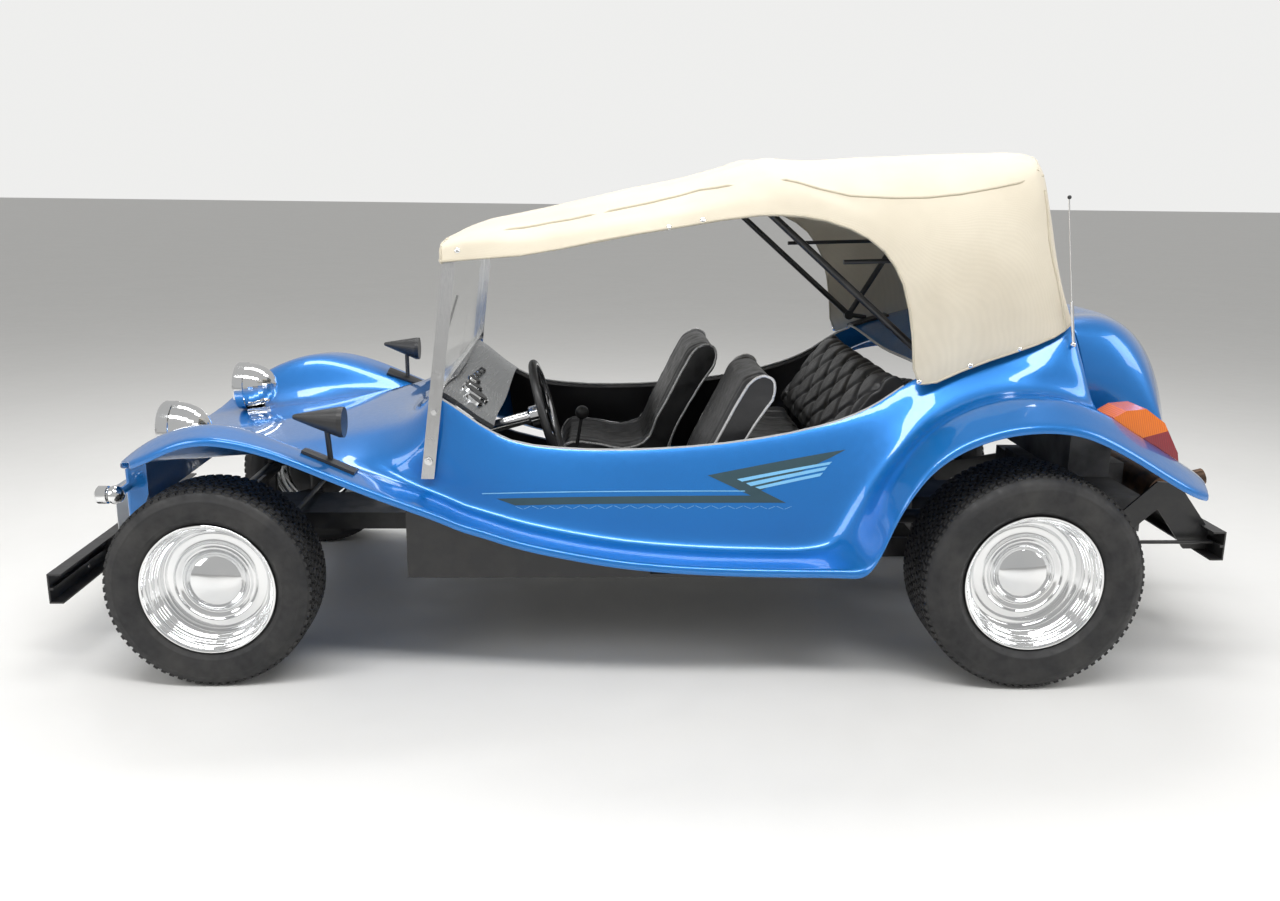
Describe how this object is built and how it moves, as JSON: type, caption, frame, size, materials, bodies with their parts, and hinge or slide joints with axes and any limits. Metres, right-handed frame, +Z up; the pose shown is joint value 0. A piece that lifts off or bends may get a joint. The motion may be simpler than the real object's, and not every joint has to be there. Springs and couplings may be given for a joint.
{
  "type": "dune buggy",
  "caption": "open four-seat dune buggy: a moulded shell with fenders over a rear-engined pan, canvas top, steered front wheels, hinged engine cover",
  "frame": {"origin": "on the ground, under the centre of the overall length and width", "axes": "+X forward, +Y to the driver side (left), +Z up"},
  "size_m": [3.7147, 1.7304, 1.5678],
  "materials": {
    "blue_paint": "gloss",
    "black_paint": "satin",
    "grey_panel": "satin",
    "polished_metal": "polished",
    "clear_glass": "clear",
    "black_plastic": "satin",
    "black_vinyl": "satin",
    "beige_canvas": "woven",
    "chrome": "polished",
    "lamp_plastic": "gloss",
    "white_paint": "satin",
    "black_rubber": "matte",
    "cast_metal": "rough",
    "dark_steel": "satin"
  },
  "bodies": {
    "chassis": {"body_shell": "blue_paint", "front_apron": "blue_paint", "floor_pan": "black_paint", "cover_hinges": "black_paint", "dashboard": "grey_panel", "windshield_frame": "polished_metal", "windshield_glass": "clear_glass", "steering_column": "polished_metal", "driver_bucket": "black_vinyl", "passenger_bucket": "black_vinyl", "bench_cushion": "black_vinyl", "bench_back": "black_vinyl", "side_linings": "black_vinyl", "canvas_top": "beige_canvas", "rear_window": "clear_glass", "top_bows": "black_paint", "headlights": "chrome", "indicators": "chrome", "side_mirrors": "black_plastic", "tail_lights": "lamp_plastic", "antenna": "polished_metal", "front_plate": "white_paint", "front_bumper": "black_paint", "rear_bumper": "black_paint", "front_axle": "black_paint", "rear_axle": "black_paint", "frame_head": "black_paint", "gearbox": "cast_metal", "engine": "cast_metal", "exhaust": "dark_steel", "controls": "black_plastic", "wiper": "black_plastic"},
    "wheel_front_left": {"front_rim_left": "chrome", "front_tyre_left": "black_rubber"},
    "wheel_front_right": {"front_rim_right": "chrome", "front_tyre_right": "black_rubber"},
    "wheel_rear_left": {"rear_rim_left": "chrome", "rear_tyre_left": "black_rubber"},
    "wheel_rear_right": {"rear_rim_right": "chrome", "rear_tyre_right": "black_rubber"},
    "upright_left": {"knuckle_left": "black_paint"},
    "upright_right": {"knuckle_right": "black_paint"},
    "track_rod": {"tie_rod": "black_paint"},
    "hand_wheel": {"steering_wheel": "black_plastic"},
    "rear_lid": {"engine_cover": "blue_paint"}
  },
  "joints": [
    {"name": "left_steering_turn", "type": "hinge", "parent": "chassis", "child": "upright_left", "pos_m": [1.3225, 0.54, 0.302], "axis": [0, 0, 1], "range_deg": [-28, 28]},
    {"name": "right_steering_turn", "type": "hinge", "parent": "chassis", "child": "upright_right", "pos_m": [1.3225, -0.54, 0.302], "axis": [0, 0, 1], "range_deg": [-28, 28]},
    {"name": "front_left_spin", "type": "hinge", "parent": "upright_left", "child": "wheel_front_left", "pos_m": [1.3225, 0.677, 0.302], "axis": [0, 1, 0], "continuous": true},
    {"name": "front_right_spin", "type": "hinge", "parent": "upright_right", "child": "wheel_front_right", "pos_m": [1.3225, -0.677, 0.302], "axis": [0, 1, 0], "continuous": true},
    {"name": "rear_left_spin", "type": "hinge", "parent": "chassis", "child": "wheel_rear_left", "pos_m": [-1.0775, 0.702, 0.332], "axis": [0, 1, 0], "continuous": true},
    {"name": "rear_right_spin", "type": "hinge", "parent": "chassis", "child": "wheel_rear_right", "pos_m": [-1.0775, -0.702, 0.332], "axis": [0, 1, 0], "continuous": true},
    {"name": "hand_wheel_turn", "type": "hinge", "parent": "chassis", "child": "hand_wheel", "pos_m": [0.3625, 0.3, 0.733], "axis": [-0.9613, 0, 0.2756], "range_deg": [-392, 392]},
    {"name": "track_rod_slide", "type": "slide", "parent": "chassis", "child": "track_rod", "axis": [0, -1, 0], "range_m": [-0.055, 0.055]},
    {"name": "rear_lid_swing", "type": "hinge", "parent": "chassis", "child": "rear_lid", "pos_m": [-1.2795, 0, 1.061], "axis": [0, 1, 0], "range_deg": [0, 55]}
  ],
  "couplings": [
    {"joint": "right_steering_turn", "follows": "left_steering_turn", "ratio": 1},
    {"joint": "hand_wheel_turn", "follows": "left_steering_turn", "ratio": 14},
    {"joint": "track_rod_slide", "follows": "left_steering_turn", "m_per_rad": 0.11}
  ]
}
